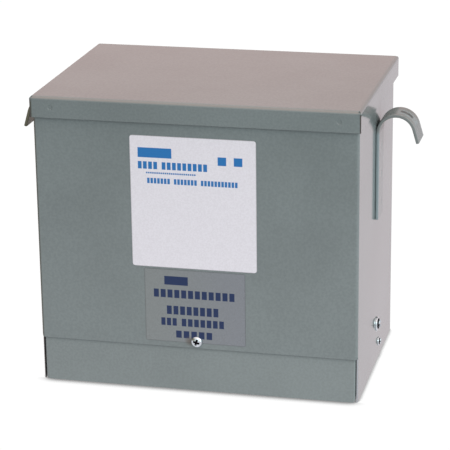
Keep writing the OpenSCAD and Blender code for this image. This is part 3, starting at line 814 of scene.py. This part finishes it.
def head_grid(diameter, turn, flanged):
    """The head as rings out from its middle: a low dome, whose height falls with the square of the
    way out, that runs out in a profile and is cut down by a cross. Each arm of the cross is a
    steep-sided trough whose floor rises to nothing at the arm's end. Dark residue and painted shade
    lie in the cross, and painted shade in the groove inside a flange."""
    profile, arm = (FLANGED_PROFILE, FLANGED_ARM) if flanged else (PAN_PROFILE, PAN_ARM)
    edge, shoulder = profile[0]
    shares, heights = (np.array(column) for column in zip(*profile))
    dome = np.linspace(0, 1, HEAD_RINGS, endpoint=False)
    shares = np.concatenate([edge * dome, shares])[:, None]
    heights = np.concatenate([1 - (1 - shoulder) * dome ** 2, heights])[:, None]
    ring = shares / 2
    angle = np.linspace(0, 2 * np.pi, TURN_STEPS, endpoint=False)[None, :]
    along, beside = ring * np.cos(angle - turn), ring * np.sin(angle - turn)
    depth = np.zeros(along.shape)
    for a, b in ((along, beside), (beside, along)):
        floor_rise = np.clip((arm - np.abs(a)) / (ARM_RUNOUT * arm), 0, 1)
        wall = np.clip((RECESS_HALF_WIDTH - np.abs(b)) / RECESS_WALL + 0.5, 0, 1)
        depth = np.maximum(depth, RECESS_DEPTH * floor_rise ** 0.7 * wall)
    # The flange groove is painted dark, a painted shade; the cross is dark with residue and painted
    # shade.
    groove = np.exp(-((shares - GROOVE_RING) / GROOVE_WIDTH) ** 4) * flanged
    soil = np.maximum(depth / depth.max(), groove)
    height = HEAD_RISE * heights - depth
    return diameter * np.stack([ring * np.cos(angle), ring * np.sin(angle), height], axis=-1), soil


def thread_grid(diameter, length, pitch):
    """The shank as rings down its length: the radius follows a ridge that winds once round the
    shank in each pitch, and tapers off over the last pitch."""
    z = np.linspace(0, length, int(RINGS_PER_PITCH * length / pitch))[:, None]
    angle = np.linspace(0, 2 * np.pi, TURN_STEPS, endpoint=False)[None, :]
    phase = (z / pitch - angle / (2 * np.pi)) % 1.0
    ridge = np.clip(THREAD_FLANK * (0.5 - np.abs(phase - 0.5)), 0, 1)
    taper = np.clip((length - z) / pitch, 0, 1) ** 0.5
    runout = np.clip(z / pitch, 0, 1)
    threaded = diameter / 2 * (1 - THREAD_SHARE * (1 - ridge * runout))
    radius = threaded * (TIP_SHARE + (1 - TIP_SHARE) * taper)
    return np.stack([radius * np.cos(angle), radius * np.sin(angle), -z + 0 * angle], axis=-1)


def screw_surface(name, node_name, head, shank, pitch, turn, flanged):
    """A screw as rings from the crown of its head, round its rim and down to its tip. It lies along
    the axis on which its node isn't as long as the head is wide, and its head faces outwards."""
    low, high = (np.array(corner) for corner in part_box(node_name))
    size, middle = high - low, (low + high) / 2
    axis = int(np.argmax(np.abs(size - head) > HAIR / 4))
    outward = math.copysign(1.0, middle[axis])
    top, soil = head_grid(head, turn, flanged)
    rise = HEAD_RISE * head
    rim = top[-1]
    bevel = rim * [1, 1, 0] + [0, 0, HEAD_ROUNDING * head]
    seat = rim * [1 - 2 * HEAD_ROUNDING, 1 - 2 * HEAD_ROUNDING, 0]
    threads = thread_grid(shank, size[axis] - rise, pitch)
    tip = threads[-1] * [0, 0, 1]
    grid = np.concatenate([top, [bevel], [seat], threads, [tip]])
    soil = np.concatenate([soil, np.zeros((len(grid) - len(soil), TURN_STEPS))])
    face = high[axis] if outward > 0 else -low[axis]
    place = np.zeros_like(grid)
    place[..., axis] = outward * (face - rise + grid[..., 2])
    first, second = (k for k in range(3) if k != axis)
    place[..., first] = middle[first] + outward * grid[..., 0]
    place[..., second] = middle[second] + grid[..., 1]
    return ringed_surface(name, place, soil=soil)


def zinc_finish():
    """Bright zinc with a faint dull bloom and a fine grain, black in the recess and the flange
    groove, with dark residue and painted shade.
    """
    made = material("bright_zinc")
    tree = made.node_tree
    place = add(tree, "TexCoord").outputs["Object"]
    bloom = ramp(tree, noise(tree, place, BLOOM_SCALE, 3), *BLOOM_BAND)
    soil = ramp(tree, add(tree, "Attribute", attribute_name="soil").outputs["Fac"], *SOIL_AND_SHADE_BAND)
    base = blend(tree, soil, blend(tree, bloom, ZINC_BRIGHT, ZINC_DULL), RECESS_SOIL_AND_SHADE)
    grain = bumped(tree, noise(tree, place, ZINC_GRAIN_SCALE), ZINC_GRAIN_HEIGHT)
    plating = add(tree, "BsdfPrincipled",
                  {"Base Color": base, "Metallic": 1.0, "Normal": grain,
                   "Roughness": ramp(tree, bloom, 0, 1, *ZINC_ROUGHNESS)})
    add(tree, "OutputMaterial", {"Surface": plating.outputs[0]})
    return made


bright_zinc = zinc_finish()
for node_name, (head, shank, pitch, degrees, flanged) in SCREWS.items():
    turn = math.radians(degrees)
    screw = screw_surface("turned_" + node_name, node_name, head, shank, pitch, turn, flanged)
    screw.data.materials.append(bright_zinc)
    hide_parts(node_name)
    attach(screw, "root")

# ---------------------------------------------------------------------------------------------
# The labels: an upper one of satin white film and a lower one of dull silver film, both stuck to
# the front cover. Each is printed with plain rows of blocks and nothing that can be read.

FILM_WHITE = (0.618, 0.668, 0.718, 1)
# The silver film differs a little at left and right: a painted change in what it reflects.
FILM_SILVER_LEFT = (0.172, 0.211, 0.214, 1)
FILM_SILVER_RIGHT = (0.169, 0.203, 0.225, 1)
INK_BLUE = (0.010, 0.150, 0.410, 1)
INK_NAVY = (0.000, 0.019, 0.078, 1)
WHITE_ROUGHNESS = 0.32
SILVER_ROUGHNESS = 0.30
ROUGHNESS_DRIFT = 0.04
ROUGHNESS_SCALE = 30
LABEL_EDGE = 0.0005
EDGE_SHADE = 0.72
FLECK_SCALE = 700
FLECK_STRENGTH = 0.04
RIPPLE_SCALE = 22
RIPPLE_HEIGHT = 0.0002
FILM_GRAIN_SCALE = 600
FILM_GRAIN_HEIGHT = 0.000012
BLOCK_END = (0.70, 0.76)

# Each row's distance right of and below the label's corner, its length, its height, and the
# pitch of its blocks, or 0 for one solid block.
WHITE_ROWS = ((0.008, 0.012, 0.034, 0.0100, 0), (0.008, 0.026, 0.0198, 0.0075, 0.0052),
              (0.032, 0.026, 0.0458, 0.0075, 0.0052), (0.016, 0.0365, 0.050, 0.0016, 0.0021),
              (0.017, 0.0425, 0.0231, 0.0055, 0.0034), (0.044, 0.0425, 0.0231, 0.0055, 0.0034),
              (0.071, 0.0425, 0.0367, 0.0055, 0.0034), (0.088, 0.018, 0.0085, 0.0085, 0),
              (0.104, 0.018, 0.0085, 0.0085, 0))
SILVER_ROWS = ((0.020, 0.007, 0.024, 0.0090, 0), (0.009, 0.021, 0.0826, 0.0085, 0.0070),
               (0.022, 0.038, 0.0530, 0.0090, 0.0068), (0.016, 0.051, 0.0162, 0.0080, 0.0058),
               (0.037, 0.051, 0.0436, 0.0080, 0.0064), (0.031, 0.064, 0.0374, 0.0075, 0.0078))


def printed(tree, axes, left, top, rows):
    """The share of ink: 1 on a row's blocks, each the first part of a pitch, and 0 off them."""
    ink = 0.0
    for right, down, length, height, pitch in rows:
        start = left + right
        row = inside(tree, axes, X=(start, start + length), Z=(top - down - height, top - down))
        if pitch:
            pitches = sum_up(tree, "DIVIDE", sum_up(tree, "SUBTRACT", axes["X"], start), pitch)
            block = ramp(tree, sum_up(tree, "FRACT", pitches), *BLOCK_END, 1.0, 0.0)
            row = sum_up(tree, "MULTIPLY", row, block)
        ink = sum_up(tree, "MAXIMUM", ink, row)
    return ink


def label_film(node_name, left_colour, right_colour, ink_colour, rows, roughness):
    """Satin film, printed, whose colour changes a little from left to right, a painted change in
    reflection, with painted shade along its cut edge and the cover screw's painted shadow.
    """
    low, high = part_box(node_name)
    made = material(node_name + "_film")
    tree = made.node_tree
    place = add(tree, "TexCoord").outputs["Object"]
    axes = add(tree, "SeparateXYZ", {0: place}).outputs
    film = blend(tree, ramp(tree, axes["X"], low[0], high[0]), left_colour, right_colour)
    film = grained(tree, place, film, FLECK_SCALE, FLECK_STRENGTH)
    film = blend(tree, printed(tree, axes, low[0], high[2], rows), film, ink_colour)
    film = screw_shadowed(tree, axes, film)
    face = inside(tree, axes, X=(low[0] + LABEL_EDGE, high[0] - LABEL_EDGE), soft=HAIR,
                  Z=(low[2] + LABEL_EDGE, high[2] - LABEL_EDGE))
    film = scaled(tree, film, ramp(tree, face, 0, 1, EDGE_SHADE, 1.0))
    ripple = bumped(tree, noise(tree, place, RIPPLE_SCALE), RIPPLE_HEIGHT)
    grain = bumped(tree, noise(tree, place, FILM_GRAIN_SCALE), FILM_GRAIN_HEIGHT, ripple)
    satin = ramp(tree, noise(tree, place, ROUGHNESS_SCALE, 3), *DULLING_BAND,
                 roughness - ROUGHNESS_DRIFT, roughness + ROUGHNESS_DRIFT)
    surface = add(tree, "BsdfPrincipled",
                  {"Base Color": film, "Roughness": satin, "Normal": grain})
    add(tree, "OutputMaterial", {"Surface": surface.outputs[0]})
    return made


dress("rating_label", label_film("rating_label", FILM_WHITE, FILM_WHITE, INK_BLUE, WHITE_ROWS,
                                 WHITE_ROUGHNESS))
dress("notice_label", label_film("notice_label", FILM_SILVER_LEFT, FILM_SILVER_RIGHT, INK_NAVY,
                                 SILVER_ROWS, SILVER_ROUGHNESS))
